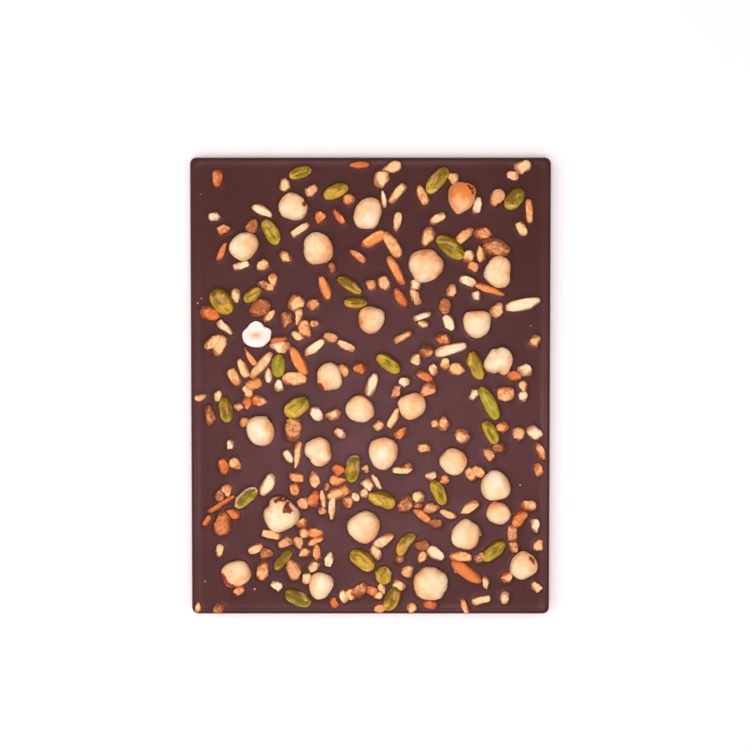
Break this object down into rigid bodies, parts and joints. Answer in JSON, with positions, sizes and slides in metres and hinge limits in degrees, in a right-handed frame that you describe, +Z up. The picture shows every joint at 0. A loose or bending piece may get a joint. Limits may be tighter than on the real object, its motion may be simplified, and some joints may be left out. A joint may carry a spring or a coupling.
{
  "type": "chocolate bark",
  "caption": "Rectangular slab of dark chocolate bark, its top set with whole blanched hazelnuts, pistachio kernels and chopped roasted nuts.",
  "frame": {"origin": "centre of the slab's flat base", "axes": "+X across the slab's width, +Y along its length, +Z up out of the topped face"},
  "size_m": [0.162, 0.206, 0.0187],
  "materials": {
    "chocolate": "satin dark chocolate",
    "hazelnut": "matt blanched nut",
    "pistachio": "matt green kernel",
    "chopped_nut": "matt roasted chopped nut"
  },
  "bodies": {
    "root": {"slab": "chocolate", "hazelnut_01": "hazelnut", "hazelnut_02": "hazelnut", "hazelnut_03": "hazelnut", "hazelnut_04": "hazelnut", "hazelnut_05": "hazelnut", "hazelnut_06": "hazelnut", "hazelnut_07": "hazelnut", "hazelnut_08": "hazelnut", "hazelnut_09": "hazelnut", "hazelnut_10": "hazelnut", "hazelnut_11": "hazelnut", "hazelnut_12": "hazelnut", "hazelnut_13": "hazelnut", "hazelnut_14": "hazelnut", "hazelnut_15": "hazelnut", "hazelnut_16": "hazelnut", "hazelnut_17": "hazelnut", "hazelnut_18": "hazelnut", "hazelnut_19": "hazelnut", "hazelnut_20": "hazelnut", "hazelnut_21": "hazelnut", "hazelnut_22": "hazelnut", "hazelnut_23": "hazelnut", "hazelnut_24": "hazelnut", "hazelnut_25": "hazelnut", "hazelnut_26": "hazelnut", "hazelnut_cut": "hazelnut", "pistachio_01": "pistachio", "pistachio_02": "pistachio", "pistachio_03": "pistachio", "pistachio_04": "pistachio", "pistachio_05": "pistachio", "pistachio_06": "pistachio", "pistachio_07": "pistachio", "pistachio_08": "pistachio", "pistachio_09": "pistachio", "pistachio_10": "pistachio", "pistachio_11": "pistachio", "pistachio_12": "pistachio", "pistachio_13": "pistachio", "pistachio_14": "pistachio", "pistachio_15": "pistachio", "pistachio_16": "pistachio", "pistachio_17": "pistachio", "pistachio_18": "pistachio", "pistachio_19": "pistachio", "pistachio_20": "pistachio", "pistachio_21": "pistachio", "pistachio_22": "pistachio", "pistachio_23": "pistachio", "pistachio_24": "pistachio", "pistachio_25": "pistachio", "pistachio_26": "pistachio", "pistachio_27": "pistachio", "pistachio_28": "pistachio"}
  },
  "joints": []
}
